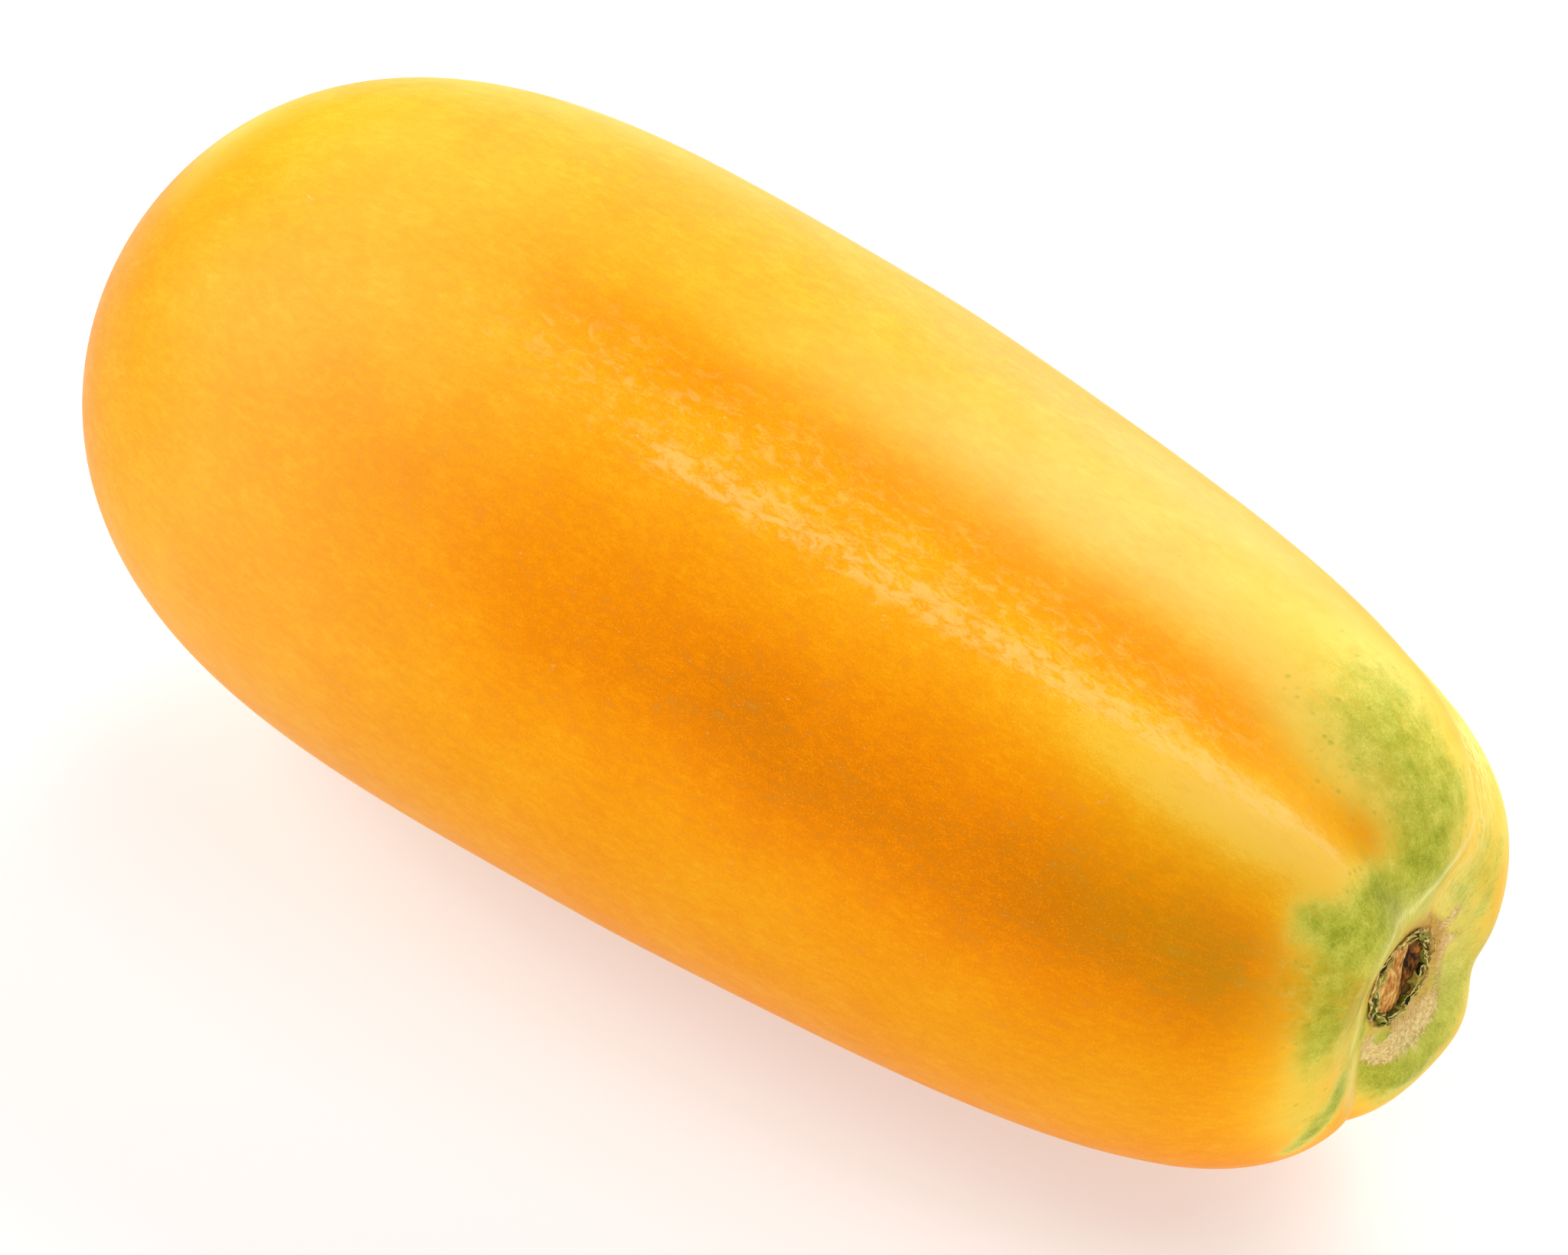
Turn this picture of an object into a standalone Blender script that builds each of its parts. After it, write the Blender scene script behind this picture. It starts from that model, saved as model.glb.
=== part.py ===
"""Papaya: one whole ripe fruit, lying on its side on a small flat spot.

The long axis lies along X with the stem end at +X, and the fruit rests on z = 0.
The skin is one closed body. It is laid out as rings round the long axis: a turned
outline first, then five lobes and the furrows between them, then the hollow that
holds the scar where the stalk came away.
"""

import math
from bisect import bisect_left

import bmesh
import bpy
from mathutils import Matrix, Vector

# Driving dimensions, in metres and degrees.
LENGTH = 0.250              # blossom tip to the shoulders round the stem scar
GIRTH_RADIUS = 0.0555       # radius at mid length, before the flare towards the ends
TAPER = -0.044              # the stem half is slimmer than the blossom half
FLARE = 0.262               # keeps the body full before the ends turn in
BLOSSOM_ROUNDING = (2.64, 0.490)    # the two powers that close the blossom end
STEM_ROUNDING = (1.43, 0.303)       # the two powers that close the stem end
BOW = (-0.0010, -0.0005)    # sideways and downward bow of the long axis
PITCH = 2.5                 # the slim stem end lies lower, so the weight is over the spot
SPOT_DEPTH = 0.0004         # how far the resting spot is flattened into the skin

# Stem end: the scar lies at the bottom of a hollow that the lobes stand round.
SCAR_RADIUS = 0.0078
SCAR_PIT_DEPTH = 0.0018
HOLLOW_RADIUS = 0.0195       # across its narrow way
HOLLOW_STRETCH = 0.0050     # how much farther it reaches the long way
HOLLOW_TURN = 205.0         # angle of its long way
HOLLOW_DEPTH = 0.0050
FURROW_FADE = 0.0110        # furrows run out over this distance from the scar

# Furrows between the lobes: angle round the axis, depth and half width at the stem
# end, where the deepening starts along the body (-1 blossom to 1 stem), depth and half
# width on the body, and how far the furrow swings round as it runs in to the scar.
FURROWS = (
    (37.0, 0.0060, 10.0, 0.00, 0.0011, 14.0, 8.0),
    (102.0, 0.0044, 17.0, -0.20, 0.0018, 20.0, -20.0),
    (160.0, 0.0003, 18.0, 0.30, 0.0002, 20.0, 0.0),
    (254.0, 0.0052, 11.0, 0.35, 0.0004, 18.0, -26.0),
    (328.0, 0.0022, 15.0, 0.35, 0.0004, 18.0, 0.0),
)
SWING_RADIUS = 0.0260       # the swing starts at this distance from the scar's middle
SCAR_WIDENING = 0.9         # how much wider, by angle, a furrow is when it gets there

# Lobes that stand fuller or flatter than the rest: angle, height, half width, start.
LOBES = (
    (308.0, 0.0010, 20.0, 0.50),
    (352.0, -0.0005, 28.0, 0.30),
    (60.0, -0.0010, 14.0, 0.90),
)

# Mesh layout.
SEGMENTS = 72
BODY_RINGS = 34
STEM_RINGS = 22
STEM_REACH = 0.052          # arc length from the stem pole that gets the finer rings
OUTLINE_SAMPLES = 900

SKIN_COLOUR = (0.87, 0.36, 0.02, 1.0)
SKIN_ROUGHNESS = 0.42


def ease(low, high, value):
    """Smooth step from 0 at low to 1 at high."""
    share = min(max((value - low) / (high - low), 0.0), 1.0)
    return share * share * (3.0 - 2.0 * share)


def angle_between(first, second):
    """Signed difference of two angles in degrees, from -180 to 180."""
    return (first - second + 180.0) % 360.0 - 180.0


def outline_point(turn):
    """Axial place and radius of the turned outline, from blossom (0) to stem (pi)."""
    share = -math.cos(turn)
    bend, close = BLOSSOM_ROUNDING if share < 0.0 else STEM_ROUNDING
    end = max(1.0 - abs(share) ** bend, 0.0) ** close
    radius = GIRTH_RADIUS * (1.0 + TAPER * share + FLARE * share * share) * end
    return LENGTH / 2.0 * share, radius


def outline_stations():
    """Ring places along the outline: even by arc length, finer at the stem end.

    Each station is (axial place, radius, outward axial part, outward radial part).
    """
    points = [outline_point(math.pi * i / OUTLINE_SAMPLES) for i in range(OUTLINE_SAMPLES + 1)]
    arcs = [0.0]
    for (x0, r0), (x1, r1) in zip(points, points[1:]):
        arcs.append(arcs[-1] + math.hypot(x1 - x0, r1 - r0))
    split = arcs[-1] - STEM_REACH
    wanted = [split * (i + 1) / BODY_RINGS for i in range(BODY_RINGS)]
    wanted += [split + STEM_REACH * (i + 1) / (STEM_RINGS + 1) for i in range(STEM_RINGS)]
    stations = []
    for arc in wanted:
        upper = bisect_left(arcs, arc)
        (x0, r0), (x1, r1) = points[upper - 1], points[upper]
        share = (arc - arcs[upper - 1]) / (arcs[upper] - arcs[upper - 1])
        chord = math.hypot(x1 - x0, r1 - r0)
        place = (x0 + (x1 - x0) * share, r0 + (r1 - r0) * share)
        stations.append((*place, (r0 - r1) / chord, (x1 - x0) / chord))
    return stations


def relief(share, radius, angle):
    """Height of the real skin above the turned outline, from lobes and furrows."""
    height = 0.0
    nearness = 1.0 - ease(0.0, SWING_RADIUS, radius) if share > 0.0 else 0.0
    for centre, end_depth, end_width, start, body_depth, body_width, swing in FURROWS:
        growth = ease(start, 1.0, share)
        depth = body_depth * ease(-0.9, 0.3, share) + (end_depth - body_depth) * growth
        width = body_width + (end_width - body_width) * growth
        width *= 1.0 + SCAR_WIDENING * nearness
        offset = angle_between(angle, centre + swing * nearness) / width
        height -= depth / (1.0 + offset * offset) ** 1.5
    for centre, lift, width, start in LOBES:
        offset = angle_between(angle, centre) / width
        height += lift * math.exp(-offset * offset) * ease(start, 1.0, share)
    height *= ease(SCAR_RADIUS, SCAR_RADIUS + FURROW_FADE, radius)
    if share > 0.0:
        reach = HOLLOW_RADIUS + HOLLOW_STRETCH * math.cos(math.radians(angle - HOLLOW_TURN)) ** 2
        height -= HOLLOW_DEPTH * (1.0 - ease(0.9 * SCAR_RADIUS, reach, radius))
        height -= SCAR_PIT_DEPTH * (1.0 - ease(0.7 * SCAR_RADIUS, SCAR_RADIUS, radius))
    return height


def skin_point(station, angle):
    """One point of the skin, in the fruit's own axes."""
    x, radius, out_x, out_r = station
    share = x / (LENGTH / 2.0)
    height = relief(share, radius, angle)
    spread = radius + out_r * height
    bow = share * share - 0.4
    turn = math.radians(angle)
    return Vector((
        x + out_x * height,
        spread * math.cos(turn) + BOW[0] * bow,
        spread * math.sin(turn) + BOW[1] * bow,
    ))


def pole_point(end):
    """The blossom tip (-1) or the middle of the stem scar (1)."""
    sunk = HOLLOW_DEPTH + SCAR_PIT_DEPTH if end > 0 else 0.0
    return Vector((end * LENGTH / 2.0 - sunk, BOW[0] * 0.6, BOW[1] * 0.6))


def build_fruit_mesh():
    """Rings of quads closed by a fan at each pole, laid down and flattened at z = 0."""
    bm = bmesh.new()
    blossom = bm.verts.new(pole_point(-1))
    rings = []
    for station in outline_stations():
        ring = [bm.verts.new(skin_point(station, 360.0 * i / SEGMENTS)) for i in range(SEGMENTS)]
        rings.append(ring)
    scar = bm.verts.new(pole_point(1))

    for i in range(SEGMENTS):
        after = (i + 1) % SEGMENTS
        bm.faces.new((blossom, rings[0][after], rings[0][i]))
        bm.faces.new((scar, rings[-1][i], rings[-1][after]))
        for inner, outer in zip(rings, rings[1:]):
            bm.faces.new((inner[i], inner[after], outer[after], outer[i]))

    lay_down(bm)
    bmesh.ops.recalc_face_normals(bm, faces=bm.faces)
    mesh = bpy.data.meshes.new("papaya")
    bm.to_mesh(mesh)
    bm.free()
    return mesh


def lay_down(bm):
    """Pitch the fruit, set it on z = 0 with a flat spot, and centre its box on X and Y."""
    bmesh.ops.rotate(
        bm, verts=bm.verts, cent=(0.0, 0.0, 0.0),
        matrix=Matrix.Rotation(math.radians(PITCH), 3, "Y"),
    )
    lows = [min(v.co[axis] for v in bm.verts) for axis in range(3)]
    highs = [max(v.co[axis] for v in bm.verts) for axis in range(3)]
    shift = Vector((
        -(lows[0] + highs[0]) / 2.0,
        -(lows[1] + highs[1]) / 2.0,
        -lows[2] - SPOT_DEPTH,
    ))
    bmesh.ops.translate(bm, verts=bm.verts, vec=shift)
    for vert in bm.verts:
        vert.co.z = max(vert.co.z, 0.0)


def skin_material():
    """Plain ripe orange skin."""
    material = bpy.data.materials.new("papaya_skin")
    material.use_nodes = True
    shader = material.node_tree.nodes["Principled BSDF"]
    shader.inputs["Base Color"].default_value = SKIN_COLOUR
    shader.inputs["Roughness"].default_value = SKIN_ROUGHNESS
    shader.inputs["Metallic"].default_value = 0.0
    return material


def build_papaya():
    """The whole fruit as one object."""
    mesh = build_fruit_mesh()
    mesh.shade_smooth()
    mesh.materials.append(skin_material())
    fruit = bpy.data.objects.new("papaya", mesh)
    bpy.context.collection.objects.link(fruit)
    return fruit


for old in list(bpy.data.objects):
    bpy.data.objects.remove(old, do_unlink=True)
build_papaya()
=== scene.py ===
"""Looks for the papaya: skin, stalk scar, floor, lights and camera."""

import math
import random

import bpy
import numpy as np
from mathutils import Euler, Matrix, Vector, noise


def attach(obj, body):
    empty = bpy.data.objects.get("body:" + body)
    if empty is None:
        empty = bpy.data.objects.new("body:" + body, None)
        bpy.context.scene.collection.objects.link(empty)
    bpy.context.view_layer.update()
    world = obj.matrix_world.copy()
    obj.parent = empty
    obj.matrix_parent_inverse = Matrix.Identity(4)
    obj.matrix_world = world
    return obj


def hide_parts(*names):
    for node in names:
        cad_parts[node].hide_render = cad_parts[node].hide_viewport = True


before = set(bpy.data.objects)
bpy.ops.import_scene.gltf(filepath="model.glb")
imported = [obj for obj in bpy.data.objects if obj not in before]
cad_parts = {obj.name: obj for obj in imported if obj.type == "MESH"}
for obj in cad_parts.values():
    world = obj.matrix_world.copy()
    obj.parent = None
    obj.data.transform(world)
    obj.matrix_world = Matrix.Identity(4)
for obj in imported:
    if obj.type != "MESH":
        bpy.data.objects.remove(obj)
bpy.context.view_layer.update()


# --- Skin: shape --------------------------------------------------------------------
# The fruit's own skin: thin, waxy and grown in one with the flesh under it. It is a
# welded copy of the fruit solid, refined until the facets are gone. Only the pit under
# the dried stalk scar is reshaped: it is cleared of facets and goes down farther.

PITCH = math.radians(2.5)           # the stem end points down by this much
PIT_RADIUS = 0.0064                 # the pit floor, which the dried scar covers
PIT_INSET = 0.0018                  # width of each of the two rings laid into its floor
PIT_FALL = 0.0024                   # how much farther down the floor goes
PIT_WALL = 0.0016                   # the floor falls away over this distance
TIP_RADIUS = 0.004                  # the fan of triangles at the blossom tip is kept
WELD_DISTANCE = 0.00001
REFINE_LEVELS = 2


def fresh_copy(node, name):
    """A new object with a welded copy of a solid's mesh, alone in the selection."""
    bpy.ops.object.select_all(action="DESELECT")
    piece = bpy.data.objects.new(name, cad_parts[node].data.copy())
    piece.data.name = name
    piece.data.materials.clear()
    bpy.context.collection.objects.link(piece)
    piece.select_set(True)
    bpy.context.view_layer.objects.active = piece
    bpy.ops.object.mode_set(mode="EDIT")
    bpy.ops.mesh.select_all(action="SELECT")
    bpy.ops.mesh.customdata_custom_splitnormals_clear()
    bpy.ops.mesh.remove_doubles(threshold=WELD_DISTANCE)
    bpy.ops.object.mode_set(mode="OBJECT")
    return piece


def pick_faces(piece, wanted):
    """Leaves exactly the faces selected for which wanted(face) is true."""
    bpy.context.view_layer.objects.active = piece
    bpy.ops.object.mode_set(mode="EDIT")
    bpy.ops.mesh.select_mode(type="FACE")
    bpy.ops.mesh.select_all(action="DESELECT")
    bpy.ops.object.mode_set(mode="OBJECT")
    for face in piece.data.polygons:
        face.select = wanted(face)
    bpy.ops.object.mode_set(mode="EDIT")


skin = fresh_copy("papaya", "papaya_skin")

# The fruit's long axis, from the blossom tip to the shoulders round the stem scar.
corners = [v.co for v in skin.data.vertices]
blossom_tip = min(corners, key=lambda co: co.x).copy()
axis = Matrix.Rotation(PITCH, 3, "Y") @ Vector((1.0, 0.0, 0.0))
fruit_length = max((co - blossom_tip).dot(axis) for co in corners)


def along(co):
    """Distance from the blossom tip, measured along the fruit."""
    return (co - blossom_tip).dot(axis)


def out(co):
    """Distance from the long axis."""
    return (co - blossom_tip - axis * along(co)).length


def in_pit(face):
    """True for the faces of the floor under the stalk scar."""
    return along(face.center) > fruit_length / 2 and out(face.center) < PIT_RADIUS


def on_resting_spot(face):
    """True for the faces of the small flat spot that the fruit lies on."""
    return face.normal.z < -0.9999 and face.center.z < 0.00002


pick_faces(skin, in_pit)
bpy.ops.mesh.dissolve_faces()
pick_faces(skin, on_resting_spot)
bpy.ops.mesh.dissolve_faces()
pick_faces(skin, lambda face: out(face.center) > TIP_RADIUS)
bpy.ops.mesh.tris_convert_to_quads(face_threshold=1.2, shape_threshold=3.0)
pick_faces(skin, in_pit)
bpy.ops.mesh.inset(thickness=PIT_INSET, depth=0.0)
bpy.ops.mesh.inset(thickness=PIT_INSET, depth=0.0)
bpy.ops.mesh.poke()
bpy.ops.mesh.select_all(action="SELECT")
bpy.ops.mesh.normals_make_consistent(inside=False)
bpy.ops.object.mode_set(mode="OBJECT")

refine = skin.modifiers.new("refine", "SUBSURF")
refine.levels = REFINE_LEVELS
refine.render_levels = REFINE_LEVELS
bpy.ops.object.modifier_apply(modifier="refine")
bpy.ops.object.shade_smooth()


def read_points(piece, what):
    """A mesh's points ("co") or their normals ("normal") as rows of an array."""
    flat = np.empty(len(piece.data.vertices) * 3)
    piece.data.vertices.foreach_get(what, flat)
    return flat.reshape(-1, 3)


def smooth(low, high, value):
    """Smooth step from 0 at low to 1 at high."""
    share = np.clip((value - low) / (high - low), 0.0, 1.0)
    return share * share * (3.0 - 2.0 * share)


# The pit goes on down under the dried scar.
for vertex in skin.data.vertices:
    if along(vertex.co) > fruit_length / 2:
        share = min(max((PIT_RADIUS + PIT_WALL / 2 - out(vertex.co)) / PIT_WALL, 0.0), 1.0)
        vertex.co -= axis * PIT_FALL * share

# Where each point of the skin lies: its distance along the fruit from the blossom tip,
# its distance out from the long axis, and its angle round it, in degrees from the far
# side (+Y) over the top. Every mark on the skin is placed by these three.
points = read_points(skin, "co")
facing = read_points(skin, "normal")
lengthwise = np.array(axis)
far_side = np.array((0.0, 1.0, 0.0))
upward = np.cross(lengthwise, far_side)
from_tip = points - np.array(blossom_tip)
at_along = from_tip @ lengthwise
outward = from_tip - np.outer(at_along, lengthwise)
at_out = np.linalg.norm(outward, axis=1)
at_angle = np.degrees(np.arctan2(outward @ upward, outward @ far_side)) % 360.0


def turn_between(first, second):
    """Signed difference of two angles in degrees, from -180 to 180."""
    return (first - second + 180.0) % 360.0 - 180.0


def stripe(course, width, fade=0.02):
    """Share of a soft band that follows (distance along, angle) points of the fruit."""
    stations, angles = zip(*course)
    middle = np.interp(at_along, stations, angles)
    share = np.exp(-(turn_between(at_angle, middle) / width) ** 2)
    share *= smooth(stations[0] - fade, stations[0] + fade, at_along)
    return share * (1.0 - smooth(stations[-1] - fade, stations[-1] + fade, at_along))


def dab(place, reach):
    """Share of a soft spot: place is (distance along, angle, distance out), reach is
    its size up the fruit and round it."""
    station, angle, distance = place
    target = lengthwise * station + distance * (
        far_side * math.cos(math.radians(angle)) + upward * math.sin(math.radians(angle))
    )
    nearest = np.argmin(np.linalg.norm(from_tip - target, axis=1))
    offset = from_tip - from_tip[nearest]
    round_way = np.cross(lengthwise, outward[nearest])
    round_way /= np.linalg.norm(round_way)
    up_way = np.cross(facing[nearest], round_way)
    depth = offset @ facing[nearest]
    share = np.exp(-(offset @ up_way / reach[0]) ** 2 - (offset @ round_way / reach[1]) ** 2)
    return share * np.exp(-(depth / max(reach)) ** 2)


def trail(course, width):
    """Share of a thin line over the skin through (distance along, angle, distance out)."""
    stations, angles, distances = (np.array(column) for column in zip(*course))
    knots = np.outer(stations, lengthwise) + distances[:, None] * (
        np.outer(np.cos(np.radians(angles)), far_side)
        + np.outer(np.sin(np.radians(angles)), upward)
    )
    gap = np.full(len(from_tip), 1.0)
    for first, second in zip(knots, knots[1:]):
        span = second - first
        share = np.clip((from_tip - first) @ span / (span @ span), 0.0, 1.0)
        miss = from_tip - first - np.outer(share, span)
        gap = np.minimum(gap, np.linalg.norm(miss, axis=1))
    return np.exp(-(gap / width) ** 2)


# The way the skin's fibres run: from end to end over the surface, closing in on both
# ends. It is a place on a tube of even width, with the distance over the skin as height,
# which is measured along one narrow strip of points that has no furrow.
TUBE_RADIUS = 0.045
STRIP_ANGLE = 190.0
STRIP_HALF_WIDTH = 0.7
profile = np.abs(turn_between(at_angle, STRIP_ANGLE)) < STRIP_HALF_WIDTH
swing = np.arctan2(at_out, at_along - fruit_length / 2.0)
order = np.argsort(-swing[profile])
line_along, line_out = at_along[profile][order], at_out[profile][order]
steps = np.hypot(np.diff(line_along), np.diff(line_out))
walked = np.concatenate(([0.0], np.cumsum(steps)))
over_skin = np.interp(-swing, -swing[profile][order], walked)
fibre_way = np.column_stack((
    TUBE_RADIUS * np.cos(np.radians(at_angle)),
    TUBE_RADIUS * np.sin(np.radians(at_angle)),
    over_skin,
))
fibre_data = skin.data.attributes.new("fibre_way", "FLOAT_VECTOR", "POINT")
fibre_data.data.foreach_set("vector", fibre_way.ravel())


# --- Skin: colour -------------------------------------------------------------------
# Ripe skin is deep orange low on the near lobes and on the far side, more yellow along
# the top, and still green where the lobes close in round the stalk. Part of that deep
# orange is painted shade. The masks below say how much of each there is at every point.

ALL_LENGTH = 0.30                   # a stripe that ends here runs on past the stem end

# Ripeness runs from 0, yellow, to 1, deep orange, and some of its bands are painted shade
# or painted highlight. First by angle round the fruit, then in bands that run along it.
ripeness_and_shade = np.interp(
    at_angle,
    (0.0, 40.0, 70.0, 90.0, 120.0, 170.0, 210.0, 260.0, 300.0, 360.0),
    (0.44, 0.46, 0.40, 0.28, 0.30, 0.43, 0.44, 0.46, 0.44, 0.44),
)
ripeness_and_shade -= 0.06 * (1.0 - smooth(0.03, 0.14, at_along))
# Deeper orange at the blossom rim: partly the skin's own colour, partly painted shade.
ripeness_and_shade += 0.38 * (1.0 - smooth(0.000, 0.040, at_along))
# Deeper orange along the furrow above the near lobe: painted shade.
ripeness_and_shade += 0.26 * stripe(((0.085, 104.0), (0.20, 102.0), (0.234, 103.0)), 8.0, 0.02)
# Deeper orange on the far side: painted shade.
ripeness_and_shade += 0.28 * stripe(((0.03, 350.0), (0.20, 350.0)), 42.0, 0.04)
ripeness_and_shade += 0.10 * stripe(((0.05, 80.0), (0.105, 84.0)), 18.0, 0.03)
# Deeper orange in a band low on the near lobe: partly the skin's own blush, partly painted
# shade.
ripeness_and_shade += 0.50 * stripe(((0.10, 143.0), (0.20, 150.0), (ALL_LENGTH, 148.0)), 19.0, 0.07)
ripeness_and_shade += 0.08 * stripe(((0.20, 148.0), (ALL_LENGTH, 150.0)), 18.0, 0.03)
ripeness_and_shade -= 0.22 * dab((0.2412, 150.0, 0.0318), (0.0065, 0.0120))
ripeness_and_shade += 0.22 * dab((0.2405, 98.5, 0.0272), (0.0060, 0.0036))
ripeness_and_shade += 0.08 * stripe(((0.12, 226.0), (ALL_LENGTH, 222.0)), 18.0, 0.05)
ripeness_and_shade -= 0.26 * stripe(((0.17, 84.0), (ALL_LENGTH, 84.0)), 13.0, 0.06)
# Yellower along the crest of the near lobe: partly its own colour, partly painted highlight.
ripeness_and_shade -= 0.40 * stripe(((0.20, 121.0), (0.243, 117.5)), 7.0, 0.02)
ripeness_and_shade -= 0.20 * stripe(((0.21, 126.0), (ALL_LENGTH, 128.0)), 11.0, 0.02)
stem_side = smooth(0.2365, 0.2465, at_along)        # the last centimetre at the stem
ripeness_and_shade -= 0.20 * stem_side * stripe(((0.20, 190.0), (ALL_LENGTH, 190.0)), 40.0)
ripeness_and_shade -= 0.45 * stem_side * stripe(((0.20, 310.0), (ALL_LENGTH, 310.0)), 75.0)
ripeness_and_shade -= 0.40 * stripe(((0.21, 14.0), (ALL_LENGTH, 20.0)), 22.0)
ripeness_and_shade -= 0.50 * stem_side * stripe(((0.20, 50.0), (ALL_LENGTH, 50.0)), 24.0)
ripeness_and_shade -= 0.22 * stripe(((0.224, 315.0), (ALL_LENGTH, 315.0)), 45.0, 0.010)

# Green lingers on the lobes' inner ends, and a little of it at the blossom end.
green = 0.34 * dab((0.2420, 76.0, 0.0300), (0.0090, 0.0105))
green += 0.36 * dab((0.2440, 84.0, 0.0250), (0.0070, 0.0080))
green += 0.62 * dab((0.2450, 86.0, 0.0190), (0.0060, 0.0070))
green += 0.20 * dab((0.2385, 70.0, 0.0350), (0.0100, 0.0105))
green += 0.20 * dab((0.2330, 71.0, 0.0385), (0.0120, 0.0105))
green += 0.34 * dab((0.2250, 82.0, 0.0415), (0.0120, 0.0110))
green += 0.28 * dab((0.2335, 88.0, 0.0365), (0.0090, 0.0090))
green += 0.12 * dab((0.2090, 70.0, 0.0465), (0.0150, 0.0100))
green += 0.30 * dab((0.2262, 67.5, 0.0415), (0.0090, 0.0080))
green += 0.08 * dab((0.2370, 64.0, 0.0350), (0.0080, 0.0070))
green += 0.50 * dab((0.2450, 122.0, 0.0255), (0.0048, 0.0085))
green += 0.42 * dab((0.2435, 128.0, 0.0287), (0.0034, 0.0044))
green += 0.50 * dab((0.2404, 131.5, 0.0322), (0.0030, 0.0034))
green += 0.46 * dab((0.2452, 113.0, 0.0222), (0.0045, 0.0050))
green += 0.50 * dab((0.2476, 129.0, 0.0205), (0.0055, 0.0080))
green += 0.20 * dab((0.2440, 141.0, 0.0285), (0.0070, 0.0060))
green += 0.30 * dab((0.2463, 156.0, 0.0245), (0.0055, 0.0090))
green += 0.32 * dab((0.2476, 168.0, 0.0205), (0.0050, 0.0070))
green += 0.34 * dab((0.2466, 173.0, 0.0240), (0.0045, 0.0090))
green += 0.08 * dab((0.2425, 153.0, 0.0305), (0.0060, 0.0080))
green += 0.06 * dab((0.2426, 134.0, 0.0303), (0.0040, 0.0050))
green += 0.30 * dab((0.2437, 61.0, 0.0277), (0.0060, 0.0060))
green -= 0.30 * dab((0.2408, 98.5, 0.0268), (0.0055, 0.0034))
green += 0.75 * trail(((0.2475, 206.0, 0.0185), (0.2467, 214.0, 0.0243),
                       (0.2440, 222.0, 0.0300)), 0.0022)
green += 0.34 * dab((0.2460, 205.0, 0.0255), (0.0070, 0.0070))
green += 0.56 * dab((0.2468, 264.0, 0.0160), (0.0045, 0.0060))
green += 0.56 * dab((0.2464, 267.0, 0.0208), (0.0060, 0.0060))
green += 0.42 * dab((0.2482, 289.0, 0.0170), (0.0070, 0.0060))
green += 0.30 * dab((0.2470, 322.0, 0.0180), (0.0060, 0.0060))
scar_side = stem_side * smooth(0.022, 0.013, at_out)
green += 0.52 * scar_side
green += 0.52 * trail(((0.2410, 29.0, 0.0275), (0.2443, 28.5, 0.0228),
                       (0.2448, 27.3, 0.0163)), 0.0022)
green += 0.50 * trail(((0.2430, 21.0, 0.0280), (0.2461, 20.0, 0.0216),
                       (0.2462, 8.0, 0.0178)), 0.0020)
green += 0.40 * dab((0.2440, 345.0, 0.0290), (0.0080, 0.0080))
green += 0.32 * dab((0.2455, 332.0, 0.0240), (0.0090, 0.0110))
green += 0.30 * dab((0.0180, 100.0, 0.0400), (0.0090, 0.0130))
green += 0.34 * dab((0.0100, 60.0, 0.0330), (0.0120, 0.0160))
green += 0.40 * dab((0.2450, 250.0, 0.0106), (0.0016, 0.0018))
green += 0.45 * trail(((0.2454, 192.0, 0.0088), (0.2458, 204.0, 0.0105)), 0.0012)

# Painted shade: the skin is darker and browner where the near lobe turns under, close to
# the stem, and where the furrow above that lobe runs out.
painted_shade = stripe(((0.213, 141.0), (0.235, 148.0), (0.247, 155.0)), 16.0, 0.018)
painted_shade += 0.40 * dab((0.2403, 100.0, 0.0280), (0.0060, 0.0050))

# A pale waxy bloom with a painted sheen on it lies along the top, on the crest of the near
# lobe and over the blossom end.
bloom_and_sheen = 0.68 * stripe(((0.14, 89.0), (0.203, 86.0), (0.222, 90.0)), 9.0, 0.05)
bloom_and_sheen += 0.40 * stripe(((0.16, 74.0), (0.215, 70.0)), 16.0, 0.03)
bloom_and_sheen += 0.38 * stripe(((0.216, 119.5), (0.243, 115.5)), 6.0, 0.010)
bloom_and_sheen += 0.22 * smooth(0.026, 0.056, at_along) * (1.0 - smooth(0.06, 0.12, at_along))

# Feathery pale patches along the crest of the near lobe, where the skin has been rubbed.
scuff = stripe(((0.125, 119.0), (0.18, 117.3), (0.223, 115.0), (0.242, 112.0)), 2.4, 0.012)
scuff += 0.52 * stripe(((0.08, 112.0), (0.21, 109.0), (0.235, 109.0)), 13.0, 0.03)
scuff += 0.40 * stripe(((0.12, 70.0), (0.23, 76.0)), 14.0, 0.03)

# Dry cork has grown round the scar. The skin next to the scar and at the blossom tip is
# stained brown, and the floor of the pit is darkened with painted shade.
cork = 0.85 * dab((0.2456, 277.0, 0.0110), (0.0026, 0.0042))
cork += 0.72 * dab((0.2462, 303.0, 0.0112), (0.0020, 0.0036))
cork += 0.78 * dab((0.2448, 251.0, 0.0124), (0.0024, 0.0032))
cork += 0.66 * dab((0.2450, 226.0, 0.0108), (0.0020, 0.0028))
cork += 0.46 * trail(((0.2458, 330.0, 0.0108), (0.2452, 357.0, 0.0100), (0.2450, 22.0, 0.0100),
                      (0.2449, 50.0, 0.0102)), 0.0013)
cork += 0.42 * trail(((0.2452, 18.0, 0.0118), (0.2454, 21.0, 0.0142)), 0.0013)
cork += 0.42 * trail(((0.2455, 2.0, 0.0114), (0.2457, 0.0, 0.0132)), 0.0013)
cork -= 0.75 * dab((0.2450, 250.0, 0.0106), (0.0013, 0.0014))
cork = np.clip(cork, 0.0, 1.0)
stain = smooth(0.0116, 0.0088, at_out) * smooth(0.20, 0.21, at_along)
stain *= 0.50 + 0.50 * np.cos(np.radians(at_angle - 18.0))
stain += np.exp(-(at_out / 0.0021) ** 2) * smooth(0.01, 0.005, at_along)
# Painted shade on the pit's floor, under the scar's ring.
pit_shade = smooth(0.0081, 0.0073, at_out) * smooth(0.20, 0.21, at_along)

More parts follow.
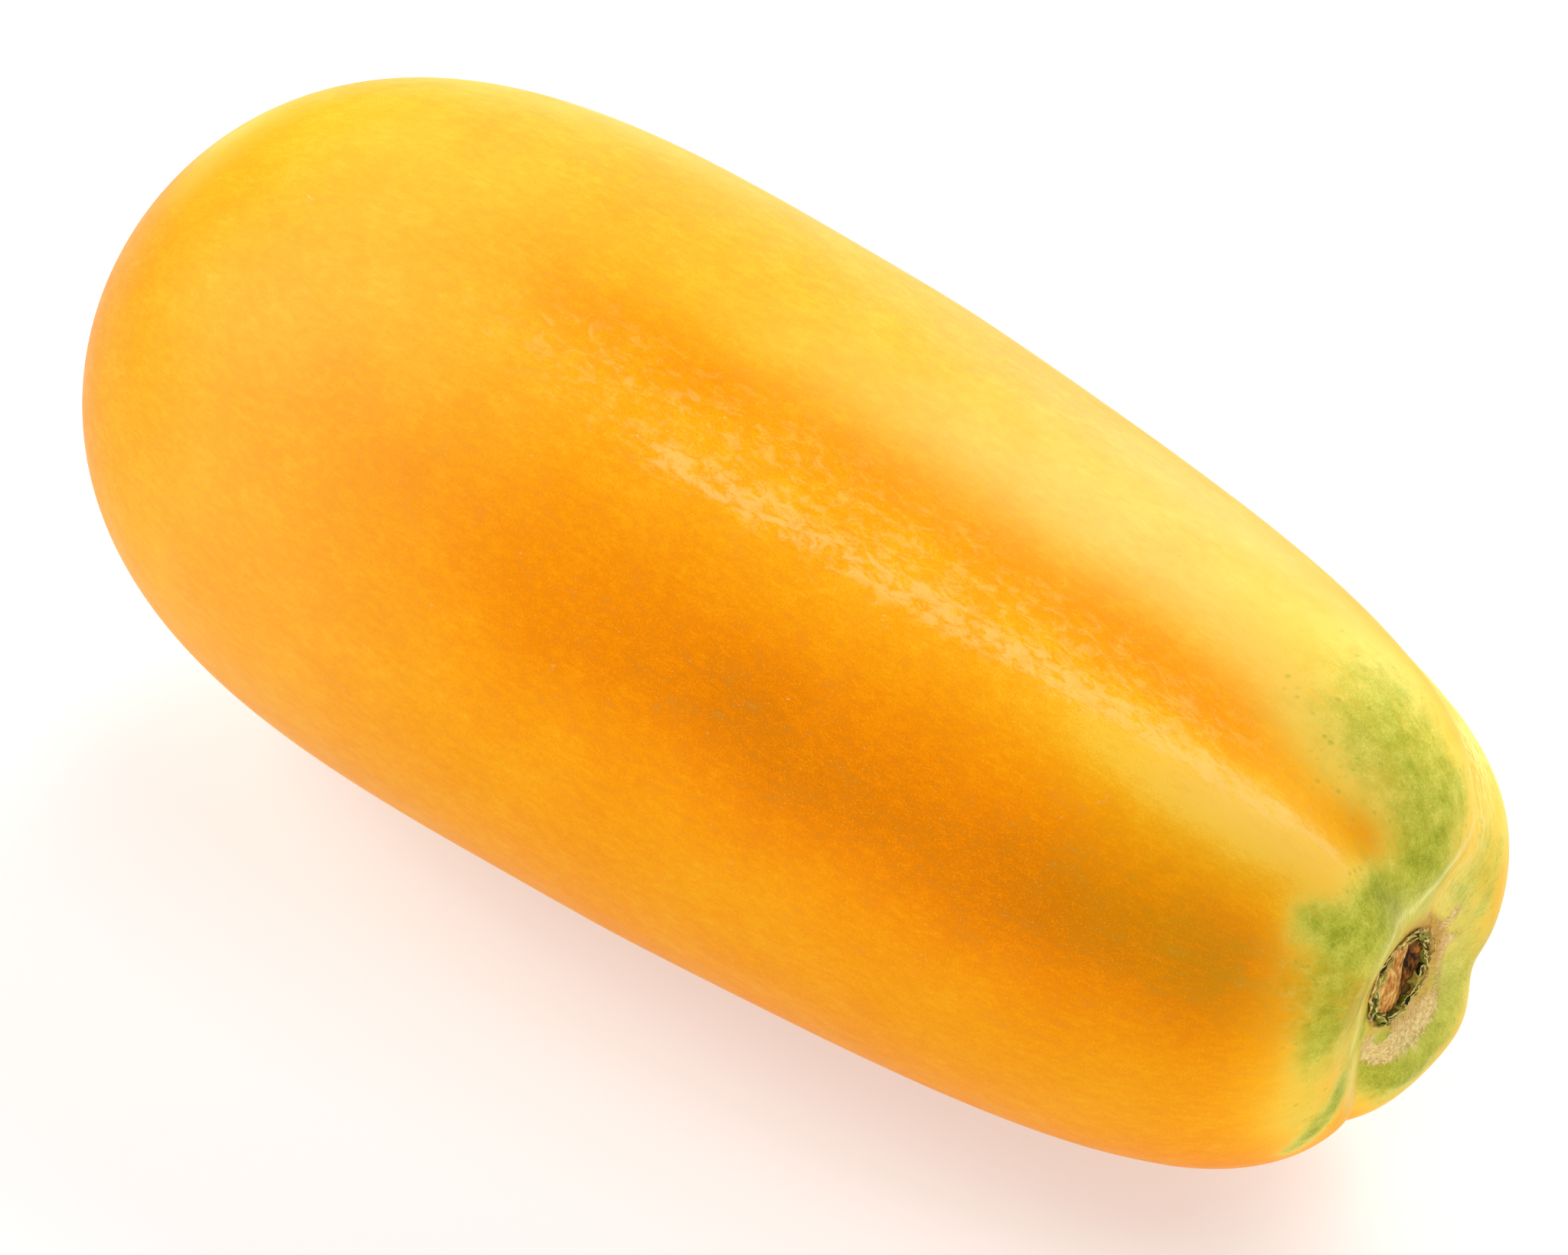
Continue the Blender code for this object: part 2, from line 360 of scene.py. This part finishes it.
# Pale lines follow the sharpest edges of the lobes at the stem.
pale = 0.80 * trail(((0.2300, 35.5, 0.0372), (0.2350, 38.0, 0.0335), (0.2400, 42.0, 0.0295),
                     (0.2440, 52.0, 0.0245), (0.2460, 62.0, 0.0215), (0.2465, 72.0, 0.0190),
                     (0.2457, 77.0, 0.0156), (0.2448, 85.0, 0.0125), (0.2455, 106.0, 0.0145),
                     (0.2470, 125.0, 0.0160), (0.2470, 141.0, 0.0145), (0.2460, 165.0, 0.0120),
                     (0.2456, 188.0, 0.0115), (0.2463, 198.0, 0.0140)), 0.0009)
pale += 0.55 * trail(((0.2309, 27.7, 0.0371), (0.2379, 29.2, 0.0315), (0.2414, 30.6, 0.0267),
                      (0.2429, 31.9, 0.0224), (0.2430, 33.0, 0.0180),
                      (0.2430, 36.0, 0.0139)), 0.0024)
pale += 0.40 * stripe(((0.190, 22.0), (0.243, 20.0)), 10.0, 0.006)
pale += 0.32 * scar_side * (0.5 + 0.5 * np.cos(np.radians(at_angle - 20.0)))
pale += 0.60 * trail(((0.2460, 212.0, 0.0144), (0.2465, 222.0, 0.0190), (0.2450, 240.0, 0.0215),
                      (0.2425, 246.0, 0.0270)), 0.0016)

# Small dark spots are scattered over the near lobes towards the stem.
spotted = stripe(((0.20, 108.0), (0.236, 108.0)), 24.0, 0.02)
spotted += 0.9 * stripe(((0.20, 150.0), (0.24, 150.0)), 30.0, 0.02)
spotted += 0.6 * stripe(((0.10, 70.0), (0.21, 76.0)), 16.0, 0.03)


def keep_mask(piece, name, values):
    """Stores one number per point for the material to read."""
    mask = piece.data.attributes.new(name, "FLOAT", "POINT")
    mask.data.foreach_set("value", np.clip(values, 0.0, 1.0))


for name, values in (
    ("ripeness_and_shade", ripeness_and_shade), ("green", green), ("painted_shade", painted_shade), ("bloom_and_sheen", bloom_and_sheen), ("scuff", scuff),
    ("cork", cork), ("stain", stain), ("pit_shade", pit_shade), ("pale", pale), ("spotted", spotted),
):
    keep_mask(skin, name, values)


# --- Skin: finish -------------------------------------------------------------------
# A thin waxy skin with a soft gloss. Its colours break up in blotches, in short flecks
# that run with the fruit, and in the tiny pale oil glands of a ripe papaya.

def add_node(tree, kind, feeds=None, **settings):
    """Adds a node. feeds maps its inputs to values or to the outputs that feed them."""
    item = tree.nodes.new(kind)
    for name, value in settings.items():
        setattr(item, name, value)
    for name, value in (feeds or {}).items():
        if isinstance(value, bpy.types.NodeSocket):
            tree.links.new(value, item.inputs[name])
        else:
            item.inputs[name].default_value = value
    return item


def fleck(tree, place, scale, detail=3.0, roughness=0.6, distortion=0.0):
    """Cloudy noise from 0 to 1, with scale clouds to the metre."""
    feeds = {
        "Vector": place, "Scale": scale, "Detail": detail,
        "Roughness": roughness, "Distortion": distortion,
    }
    return add_node(tree, "ShaderNodeTexNoise", feeds).outputs["Fac"]


def spots(tree, place, scale):
    """Distance to the nearest of many scattered points, and that point's own number."""
    cells = add_node(tree, "ShaderNodeTexVoronoi", {"Vector": place, "Scale": scale})
    split = add_node(tree, "ShaderNodeSeparateColor", {"Color": cells.outputs["Color"]})
    return cells.outputs["Distance"], split.outputs["Red"]


def step(tree, value, low, high, start=0.0, end=1.0):
    """Smooth step of a value between low and high, from start to end."""
    feeds = {"Value": value, "From Min": low, "From Max": high, "To Min": start, "To Max": end}
    return add_node(
        tree, "ShaderNodeMapRange", feeds, interpolation_type="SMOOTHSTEP"
    ).outputs["Result"]


def maths(tree, operation, first, second=0.0, third=0.0):
    """One sum on values or outputs. MULTIPLY_ADD gives first * second + third."""
    item = add_node(tree, "ShaderNodeMath", operation=operation)
    for socket, value in zip(item.inputs, (first, second, third)):
        if isinstance(value, bpy.types.NodeSocket):
            tree.links.new(value, socket)
        else:
            socket.default_value = value
    return item.outputs["Value"]


def blend(tree, share, under, over):
    """Lays a colour over another by a share, which is an output from 0 to 1."""
    item = add_node(tree, "ShaderNodeMix", {"Factor": share}, data_type="RGBA")
    first_colour, second_colour, result = item.inputs[6], item.inputs[7], item.outputs[2]
    for socket, value in ((first_colour, under), (second_colour, over)):
        if isinstance(value, bpy.types.NodeSocket):
            tree.links.new(value, socket)
        else:
            socket.default_value = (*value, 1.0)
    return result


def mask_of(tree, name):
    """The numbers that keep_mask stored under a name."""
    return add_node(tree, "ShaderNodeAttribute", attribute_name=name).outputs["Fac"]


def new_material(name):
    """A material with its node tree and shader node."""
    material = bpy.data.materials.new(name)
    material.use_nodes = True
    return material, material.node_tree, material.node_tree.nodes["Principled BSDF"]


def colour_ramp(tree, value, stops):
    """Turns a value into a colour, through (value, colour) stops."""
    ramp = add_node(tree, "ShaderNodeValToRGB", {"Fac": value})
    steps = ramp.color_ramp.elements
    while len(steps) < len(stops):
        steps.new(0.5)
    for item, (place, colour) in zip(steps, stops):
        item.position = place
        item.color = (*colour, 1.0)
    return ramp.outputs["Color"]


skin_look, tree, shader = new_material("papaya_skin")
place = add_node(tree, "ShaderNodeTexCoord").outputs["Object"]
way = add_node(tree, "ShaderNodeAttribute", attribute_name="fibre_way").outputs["Vector"]


def stretched(share):
    """The way of the fibres, with patterns drawn out along it."""
    item = add_node(tree, "ShaderNodeMapping", {"Vector": way, "Scale": (1.0, 1.0, share)})
    return item.outputs["Vector"]


clouds = fleck(tree, place, 60.0, 3.0, 0.5)
blotches = fleck(tree, stretched(0.55), 260.0, 4.0, 0.62)
flecks = fleck(tree, stretched(0.45), 1000.0, 3.0, 0.62)
silk = fleck(tree, stretched(0.14), 2300.0, 2.0, 0.6)
grain = fleck(tree, place, 3600.0, 2.0, 0.7)
gland_distance, gland_size = spots(tree, place, 3000.0)

# Ripeness, broken up at every scale, and least where the skin is still green.
green_here = mask_of(tree, "green")
tone = maths(tree, "MULTIPLY_ADD", green_here, -0.55, mask_of(tree, "ripeness_and_shade"))
tone = maths(tree, "MULTIPLY_ADD", clouds, 0.26, tone)
tone = maths(tree, "MULTIPLY_ADD", blotches, 0.30, tone)
tone = maths(tree, "MULTIPLY_ADD", flecks, 0.40, tone)
tone = maths(tree, "MULTIPLY_ADD", silk, 0.18, tone)
tone = maths(tree, "MULTIPLY_ADD", grain, 0.62, tone)
tone = maths(tree, "SUBTRACT", tone, 0.88)
colour = colour_ramp(tree, tone, (
    (0.00, (0.93, 0.54, 0.045)),
    (0.22, (0.92, 0.43, 0.012)),
    (0.45, (0.91, 0.33, 0.003)),
    (0.72, (0.84, 0.235, 0.001)),
    (1.00, (0.64, 0.175, 0.001)),
))

# Oil glands: tiny lighter points.
gland = maths(tree, "MULTIPLY", step(tree, gland_distance, 0.42, 0.12),
              step(tree, gland_size, 0.30, 0.95))
colour = blend(tree, maths(tree, "MULTIPLY", gland, 0.44), colour, (0.96, 0.50, 0.03))

# Painted shade low on the near lobe, and the waxy bloom with its painted sheen, in fine grains.
painted_shade_share = maths(tree, "MULTIPLY", mask_of(tree, "painted_shade"),
                   step(tree, blotches, 0.25, 0.75, 0.22, 0.44))
colour = blend(tree, painted_shade_share, colour, (0.46, 0.30, 0.004))
# The bloom's pale grains are partly painted sheen.
bloom_and_sheen_share = maths(tree, "MULTIPLY", mask_of(tree, "bloom_and_sheen"),
                    step(tree, grain, 0.25, 0.75, 0.16, 0.58))
colour = blend(tree, bloom_and_sheen_share, colour, (0.96, 0.68, 0.30))

# Rubbed skin, in feathers that branch along the fruit.
feather = fleck(tree, stretched(0.42), 740.0, 6.0, 0.74, 0.5)
scuffed = mask_of(tree, "scuff")
rubbed = maths(tree, "MULTIPLY_ADD", scuffed, 0.15, feather)
rubbed = maths(tree, "MULTIPLY", step(tree, rubbed, 0.54, 0.72),
               step(tree, scuffed, 0.02, 0.95))
colour = blend(tree, maths(tree, "MULTIPLY", rubbed, 0.44), colour, (0.96, 0.62, 0.20))

# Green: solid in the middle of a patch, mottled and then speckled at its edge.
green_break = maths(tree, "MULTIPLY_ADD", blotches, 0.45, green_here)
green_break = maths(tree, "MULTIPLY_ADD", flecks, 0.45, green_break)
green_break = maths(tree, "MULTIPLY_ADD", silk, 0.25, green_break)
green_break = maths(tree, "MULTIPLY_ADD", grain, 0.55, green_break)
green_share = step(tree, maths(tree, "SUBTRACT", green_break, 0.85), 0.00, 0.88)
mottle = fleck(tree, place, 300.0, 5.0, 0.68)
shade = maths(tree, "MULTIPLY_ADD", flecks, 0.25, maths(tree, "MULTIPLY", mottle, 0.70))
shade = maths(tree, "MULTIPLY_ADD", grain, 0.50, shade)
shade = maths(tree, "MULTIPLY_ADD", green_here, -0.38, shade)
# The green is darker as well where the painted shade lies.
shade = maths(tree, "MULTIPLY_ADD", mask_of(tree, "painted_shade"), -0.30, shade)
shade = maths(tree, "ADD", shade, 0.18)
green_colour = colour_ramp(tree, shade, (
    (0.40, (0.25, 0.30, 0.022)),
    (0.53, (0.38, 0.42, 0.040)),
    (0.66, (0.52, 0.53, 0.074)),
    (0.80, (0.71, 0.64, 0.110)),
))
colour = blend(tree, maths(tree, "MULTIPLY", green_share, 0.92), colour, green_colour)
speckle_distance, speckle_size = spots(tree, way, 620.0)
speckle_edge = maths(tree, "MULTIPLY_ADD", flecks, 0.5, speckle_distance)
speckle = maths(tree, "MULTIPLY", step(tree, speckle_edge, 0.62, 0.38),
                step(tree, speckle_size, 0.60, 0.90))
speckle = maths(tree, "MULTIPLY", speckle, step(tree, green_here, 0.04, 0.35))
colour = blend(tree, maths(tree, "MULTIPLY", speckle, 0.40), colour, (0.26, 0.34, 0.035))

# Small dark spots, few and far between.
dark_distance, dark_size = spots(tree, place, 160.0)
dark_edge = maths(tree, "MULTIPLY_ADD", flecks, 0.06, dark_distance)
dark = maths(tree, "MULTIPLY", step(tree, dark_edge, 0.095, 0.045),
             step(tree, dark_size, 0.55, 0.80))
dark = maths(tree, "MULTIPLY", dark, mask_of(tree, "spotted"))
colour = blend(tree, maths(tree, "MULTIPLY", dark, 0.70), colour, (0.30, 0.24, 0.012))

# Pale lines along the sharpest edges, broken into threads.
threads = fleck(tree, stretched(0.25), 1900.0, 3.0, 0.6)
pale_share = maths(tree, "MULTIPLY", mask_of(tree, "pale"),
                   step(tree, threads, 0.32, 0.62, 0.30, 1.0))
colour = blend(tree, pale_share, colour, (0.84, 0.78, 0.26))

# Cork with brown cracks, the stain round the scar, and painted shade on the pit's floor.
fibre = fleck(tree, place, 1500.0, 4.0, 0.62)
cork_break = maths(tree, "MULTIPLY_ADD", mottle, 1.2, mask_of(tree, "cork"))
cork_break = maths(tree, "MULTIPLY_ADD", threads, 0.8, cork_break)
cork_share = step(tree, maths(tree, "MULTIPLY_ADD", fibre, 0.3, cork_break), 1.42, 1.64)
cracks = fleck(tree, place, 680.0, 4.0, 0.75, 0.8)
off_crack = maths(tree, "ABSOLUTE", maths(tree, "SUBTRACT", cracks, 0.5))
crackle = step(tree, off_crack, 0.032, 0.004)
cork_colour = colour_ramp(tree, fibre, (
    (0.38, (0.76, 0.50, 0.19)),
    (0.60, (0.88, 0.69, 0.36)),
))
colour = blend(tree, maths(tree, "MULTIPLY", cork_share, 0.78), colour, cork_colour)
crack_share = maths(tree, "MULTIPLY", crackle, step(tree, mask_of(tree, "cork"), 0.10, 0.45))
colour = blend(tree, maths(tree, "MULTIPLY", crack_share, 0.75), colour, (0.40, 0.17, 0.035))
stain_share = maths(tree, "MULTIPLY", mask_of(tree, "stain"),
                    step(tree, threads, 0.35, 0.6, 0.35, 1.0))
colour = blend(tree, maths(tree, "MULTIPLY", stain_share, 0.85), colour, (0.48, 0.19, 0.032))
pit_shade_share = maths(tree, "MULTIPLY", mask_of(tree, "pit_shade"), 0.92)
colour = blend(tree, pit_shade_share, colour, (0.09, 0.055, 0.014))
tree.links.new(colour, shader.inputs["Base Color"])

# A soft gloss, duller where the skin is rubbed or corky.
rough = maths(tree, "MULTIPLY_ADD", blotches, 0.14, 0.30)
rough = maths(tree, "MULTIPLY_ADD", grain, 0.06, rough)
rough = maths(tree, "MULTIPLY_ADD", rubbed, 0.12, rough)
rough = maths(tree, "MULTIPLY_ADD", cork_share, 0.35, rough)
tree.links.new(rough, shader.inputs["Roughness"])
shader.inputs["Specular IOR Level"].default_value = 0.04
shader.inputs["Specular Tint"].default_value = (1.0, 0.80, 0.40, 1.0)

# The relief of the skin, too fine for the mesh.
height = maths(tree, "MULTIPLY_ADD", blotches, 0.05, clouds)
height = maths(tree, "MULTIPLY_ADD", flecks, 0.022, height)
height = maths(tree, "MULTIPLY_ADD", silk, 0.010, height)
height = maths(tree, "MULTIPLY_ADD", grain, 0.010, height)
height = maths(tree, "MULTIPLY_ADD", rubbed, 0.02, height)
height = maths(tree, "MULTIPLY_ADD", maths(tree, "MULTIPLY", cork_share, fibre), 0.16, height)
bump = add_node(tree, "ShaderNodeBump", {"Height": height, "Strength": 0.6, "Distance": 0.0012})
tree.links.new(bump.outputs["Normal"], shader.inputs["Normal"])

skin.data.materials.append(skin_look)
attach(skin, "root")
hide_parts("papaya")


# --- Stem scar ----------------------------------------------------------------------
# Where the stalk snapped off, the fruit has dried to a plug of torn fibres. A ring of
# crumpled flakes stands round the plug, with a thin papery edge against the skin.

SCAR_DEPTH = 0.0042                 # the scar's middle lies this far below the shoulders
PLUG_RADIUS = 0.0063
PLUG_DEPTH = 0.0030
PLUG_SINK = 0.0020                  # from the scar's middle down to the plug's
PLUG_RINGS = 14                     # rings of faces on its top
HOLLOW_TURN = 352.0                 # the plug's top is hollow at this side
HOLLOW_DEPTH = 0.0020
MOUND_TURN = 200.0                  # and stands highest at this side
MOUND_HEIGHT = 0.0007
FIBRE_RELIEF = 0.00022
scar_middle = blossom_tip + axis * (fruit_length - SCAR_DEPTH)
scar_turn = axis.to_track_quat("Z", "Y").to_euler()


def finish_place(name):
    """Names the newest piece and applies its place, so its object is at the origin."""
    piece = bpy.context.active_object
    piece.name = name
    piece.data.name = name
    bpy.ops.object.transform_apply(location=True, rotation=True, scale=True)
    bpy.ops.object.shade_smooth()
    return piece


FOLD_SEED = 12                      # unset, the folds would come out new each time
noise.seed_set(FOLD_SEED)


def crumple(piece, size, amount, seed):
    """Pushes a piece's points about by up to amount, in folds of a given size."""
    for vertex in piece.data.vertices:
        spot = vertex.co / size + Vector((seed, 0.0, 0.0))
        vertex.co += noise.noise_vector(spot) * amount


def scar_place(piece):
    """Each point's height over the scar, distance from its middle and angle round it."""
    offset = read_points(piece, "co") - np.array(scar_middle)
    height = offset @ lengthwise
    flat = offset - np.outer(height, lengthwise)
    angle = np.degrees(np.arctan2(flat @ upward, flat @ far_side)) % 360.0
    return height, np.linalg.norm(flat, axis=1), angle


def lift(piece, amounts):
    """Moves a piece's points along the fruit, each by its own amount."""
    moved = read_points(piece, "co") + np.outer(amounts, lengthwise)
    piece.data.vertices.foreach_set("co", moved.ravel())
    piece.data.update()


bpy.ops.object.select_all(action="DESELECT")
bpy.ops.mesh.primitive_cylinder_add(
    vertices=120, radius=PLUG_RADIUS, depth=PLUG_DEPTH,
    location=scar_middle - axis * PLUG_SINK, rotation=scar_turn,
)
plug = finish_place("stem_scar_plug")
pick_faces(plug, lambda face: face.normal.dot(axis) > 0.9)
for ring in range(PLUG_RINGS):
    bpy.ops.mesh.inset(thickness=PLUG_RADIUS / (PLUG_RINGS + 1.5), depth=0.0)
bpy.ops.mesh.poke()
bpy.ops.object.mode_set(mode="OBJECT")


def side_spot(turn, away, reach_out, reach_round):
    """Share of a soft spot on the scar that lies away from its middle towards turn."""
    side = np.radians(turn_between(angle, turn))
    return np.exp(-((distance * np.cos(side) - away) / reach_out) ** 2
                  - (distance * np.sin(side) / reach_round) ** 2)


# The torn top of the plug: a mound, a hollow darkened with painted shade, and a fine relief of
# fibres.
height, distance, angle = scar_place(plug)
on_top = smooth(-0.0008, -0.0006, height)
hollow_and_shade = side_spot(HOLLOW_TURN, away=0.0038, reach_out=0.0019, reach_round=0.0050)
mound = side_spot(MOUND_TURN, away=0.0022, reach_out=0.0026, reach_round=0.0040)
fibres = np.array([
    noise.noise(Vector((v.co.x, v.co.y * 0.5, v.co.z * 0.22)) / 0.00034)
    + 0.6 * noise.noise(v.co / 0.00070)
    for v in plug.data.vertices
])
lift(plug, on_top * (MOUND_HEIGHT * mound - HOLLOW_DEPTH * hollow_and_shade + FIBRE_RELIEF * fibres))
keep_mask(plug, "hollow_and_shade", hollow_and_shade)
keep_mask(plug, "fibres", 0.45 + 0.45 * fibres)

plug_look, tree, shader = new_material("torn_fibres")
place = add_node(tree, "ShaderNodeTexCoord").outputs["Object"]
drawn_out = add_node(tree, "ShaderNodeMapping", {"Vector": place, "Scale": (1.0, 0.5, 0.2)})
threads = fleck(tree, drawn_out.outputs["Vector"], 3200.0, 3.0, 0.65)
patches = fleck(tree, place, 700.0, 2.0, 0.5)
tone = maths(tree, "MULTIPLY_ADD", mask_of(tree, "fibres"), 0.55,
             maths(tree, "MULTIPLY", threads, 0.7))
tone = maths(tree, "MULTIPLY_ADD", patches, 0.25, tone)
# The hollow is darker in colour: painted shade.
tone = maths(tree, "MULTIPLY_ADD", mask_of(tree, "hollow_and_shade"), -0.42, tone)
colour = colour_ramp(tree, tone, (
    (0.36, (0.030, 0.012, 0.004)),
    (0.54, (0.26, 0.090, 0.012)),
    (0.72, (0.58, 0.24, 0.035)),
    (0.96, (0.84, 0.56, 0.18)),
))
tree.links.new(colour, shader.inputs["Base Color"])
shader.inputs["Roughness"].default_value = 0.8
shader.inputs["Specular IOR Level"].default_value = 0.2
bump = add_node(tree, "ShaderNodeBump", {"Height": threads, "Strength": 0.8, "Distance": 0.0004})
tree.links.new(bump.outputs["Normal"], shader.inputs["Normal"])
plug.data.materials.append(plug_look)
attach(plug, "root")

# Two rows of small torn plates. One blank plate is modelled, and each plate is a copy
# of it with its own size, tilt and shade.
PLATES = 44
INNER_ROW = 0.0065                  # distances from the scar's middle
OUTER_ROW = 0.0072
PLATE_THICKNESS = 0.00016
bpy.ops.object.select_all(action="DESELECT")
bpy.ops.mesh.primitive_cube_add(size=1.0)
blank = bpy.context.active_object
bpy.ops.object.mode_set(mode="EDIT")
bpy.ops.mesh.subdivide(number_cuts=7)
bpy.ops.object.mode_set(mode="OBJECT")
keep_mask(blank, "crest", smooth(0.30, 0.50, read_points(blank, "co")[:, 2]))

to_ring = scar_turn.to_matrix()
chance = random.Random(7)
plates = []
for number in range(PLATES):
    plate = blank.copy()
    plate.data = blank.data.copy()
    bpy.context.collection.objects.link(plate)
    turn = 2.0 * math.pi * (number + chance.uniform(-0.4, 0.4)) / PLATES
    row = INNER_ROW if number % 2 else OUTER_ROW
    radius = row + chance.uniform(-0.0003, 0.0003)
    tilt = Euler((
        chance.uniform(-0.7, 0.3),
        chance.uniform(-0.25, 0.25),
        turn + math.pi / 2 + chance.uniform(-0.25, 0.25),
    )).to_matrix()
    plate.rotation_euler = (to_ring @ tilt).to_euler()
    plate.location = scar_middle + to_ring @ Vector(
        (radius * math.cos(turn), radius * math.sin(turn), chance.uniform(-0.0006, 0.0000))
    )
    length = chance.uniform(0.0016, 0.0034)
    plate.scale = (length, PLATE_THICKNESS, chance.uniform(0.0009, 0.0017))
    keep_mask(plate, "shade", np.full(len(plate.data.vertices), chance.random()))
    plates.append(plate)

bpy.data.objects.remove(blank, do_unlink=True)
bpy.ops.object.select_all(action="DESELECT")
for plate in plates:
    plate.select_set(True)
bpy.context.view_layer.objects.active = plates[-1]
bpy.ops.object.transform_apply(location=True, rotation=True, scale=True)
bpy.ops.object.join()
flakes = finish_place("stem_scar_flakes")
crumple(flakes, size=0.0016, amount=0.00060, seed=3.0)
crumple(flakes, size=0.0006, amount=0.00030, seed=11.0)
crumple(flakes, size=0.00025, amount=0.00008, seed=23.0)

flakes_look, tree, shader = new_material("dried_flakes")
place = add_node(tree, "ShaderNodeTexCoord").outputs["Object"]
patches = maths(tree, "MULTIPLY_ADD", fleck(tree, place, 1500.0, 3.0, 0.6), 0.9,
                maths(tree, "MULTIPLY", mask_of(tree, "shade"), 0.55))
colour = colour_ramp(tree, patches, (
    (0.42, (0.026, 0.018, 0.004)),
    (0.60, (0.110, 0.105, 0.010)),
    (0.80, (0.27, 0.29, 0.028)),
    (1.00, (0.46, 0.34, 0.060)),
))
edges = maths(tree, "MULTIPLY_ADD", fleck(tree, place, 2600.0, 2.0, 0.6), 0.6,
              mask_of(tree, "crest"))
colour = blend(tree, step(tree, edges, 0.95, 1.35), colour, (0.66, 0.54, 0.17))
tree.links.new(colour, shader.inputs["Base Color"])
shader.inputs["Roughness"].default_value = 0.7
shader.inputs["Specular IOR Level"].default_value = 0.25
flakes.data.materials.append(flakes_look)
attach(flakes, "root")

# The papery edge of the skin round the ring of plates.
EDGE_RADIUS = 0.0080
EDGE_THICKNESS = 0.00032
EDGE_LIFT = 0.0002                  # from the scar's middle up to the edge
bpy.ops.object.select_all(action="DESELECT")
bpy.ops.mesh.primitive_torus_add(
    location=scar_middle + axis * EDGE_LIFT, rotation=scar_turn,
    major_radius=EDGE_RADIUS, minor_radius=EDGE_THICKNESS / 2,
    major_segments=288, minor_segments=8,
)
edge = finish_place("stem_scar_edge")
crumple(edge, size=0.0026, amount=0.0005, seed=5.0)
crumple(edge, size=0.0008, amount=0.0003, seed=17.0)

edge_look, tree, shader = new_material("papery_edge")
place = add_node(tree, "ShaderNodeTexCoord").outputs["Object"]
colour = colour_ramp(tree, fleck(tree, place, 1500.0, 3.0, 0.6), (
    (0.35, (0.20, 0.10, 0.020)),
    (0.50, (0.52, 0.36, 0.10)),
    (0.65, (0.76, 0.62, 0.26)),
))
tree.links.new(colour, shader.inputs["Base Color"])
shader.inputs["Roughness"].default_value = 0.75
shader.inputs["Specular IOR Level"].default_value = 0.2
edge.data.materials.append(edge_look)
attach(edge, "root")


# --- Floor and backdrop -------------------------------------------------------------
# A plain white round table top, lit a little from below as product tables are, and a
# white backdrop all round.

FLOOR_RADIUS = 1.5
FLOOR_GLOW = 0.42
BACKDROP_RADIUS = 6.0

bpy.ops.object.select_all(action="DESELECT")
bpy.ops.mesh.primitive_circle_add(
    vertices=128, radius=FLOOR_RADIUS, fill_type="NGON", location=(0.0, 0.0, 0.0)
)
floor = bpy.context.active_object
floor.name = "floor"
floor_look, tree, shader = new_material("table_top")
shader.inputs["Base Color"].default_value = (0.56, 0.56, 0.56, 1.0)
shader.inputs["Roughness"].default_value = 0.9
shader.inputs["Specular IOR Level"].default_value = 0.0
shader.inputs["Emission Color"].default_value = (1.0, 1.0, 1.0, 1.0)
shader.inputs["Emission Strength"].default_value = FLOOR_GLOW
floor.data.materials.append(floor_look)

# The backdrop only stands behind: it throws no light or shadow on the fruit.
bpy.ops.object.select_all(action="DESELECT")
bpy.ops.mesh.primitive_uv_sphere_add(segments=48, ring_count=24, radius=BACKDROP_RADIUS)
backdrop = bpy.context.active_object
backdrop.name = "backdrop"
backdrop.visible_diffuse = False
backdrop.visible_glossy = False
backdrop.visible_shadow = False
backdrop_look, tree, shader = new_material("white_backdrop")
shader.inputs["Base Color"].default_value = (0.0, 0.0, 0.0, 1.0)
shader.inputs["Specular IOR Level"].default_value = 0.0
shader.inputs["Emission Color"].default_value = (1.0, 1.0, 1.0, 1.0)
shader.inputs["Emission Strength"].default_value = 1.0
backdrop.data.materials.append(backdrop_look)


# --- Light and camera ---------------------------------------------------------------
# Four soft boxes: a tall one behind the fruit, one beyond its blossom end, a weaker one
# low in front and the weakest above the stem end. The camera looks down from front right.

CAMERA_DISTANCE = 1.02
WORLD_GLOW = 0.18
fruit_centre = Vector((0.0011, -0.0003, 0.0547))
aim = fruit_centre + Vector((0.0026, 0.0, -0.0020))


def direction(azimuth, elevation):
    """Unit vector at an azimuth from +X, turning towards +Y, and an elevation."""
    flat = math.cos(math.radians(elevation))
    return Vector((
        math.cos(math.radians(azimuth)) * flat,
        math.sin(math.radians(azimuth)) * flat,
        math.sin(math.radians(elevation)),
    ))


def softbox(name, towards, distance, width, height, brightness):
    """A rectangular area light of a given brightness that faces the fruit."""
    data = bpy.data.lights.new(name, "AREA")
    data.shape = "RECTANGLE"
    data.size = width
    data.size_y = height
    data.energy = brightness * math.pi * width * height
    lamp = bpy.data.objects.new(name, data)
    bpy.context.collection.objects.link(lamp)
    lamp.location = fruit_centre + towards * distance
    lamp.rotation_euler = (-towards).to_track_quat("-Z", "Y").to_euler()
    lamp.visible_camera = False


softbox("softbox_back", direction(98.0, 25.0), distance=1.6,
        width=1.0, height=1.6, brightness=8.4)
softbox("softbox_blossom", direction(203.0, 33.0), distance=1.5,
        width=0.75, height=1.2, brightness=7.0)
softbox("softbox_front", direction(318.0, 14.0), distance=1.6,
        width=0.9, height=1.1, brightness=3.4)
softbox("softbox_top", direction(10.0, 60.0), distance=1.5,
        width=0.8, height=0.8, brightness=2.8)

world = bpy.data.worlds.new("studio")
world.use_nodes = True
glow = world.node_tree.nodes["Background"]
glow.inputs["Color"].default_value = (1.0, 1.0, 1.0, 1.0)
glow.inputs["Strength"].default_value = WORLD_GLOW
bpy.context.scene.world = world
bpy.context.scene.view_settings.view_transform = "Standard"

camera_way = direction(-50.19, 39.64)
camera_data = bpy.data.cameras.new("camera")
camera_data.sensor_width = 36.0
camera_data.lens = 152.8
camera = bpy.data.objects.new("camera", camera_data)
bpy.context.collection.objects.link(camera)
camera.location = aim + camera_way * CAMERA_DISTANCE
camera.rotation_euler = (-camera_way).to_track_quat("-Z", "Y").to_euler()
bpy.context.scene.camera = camera
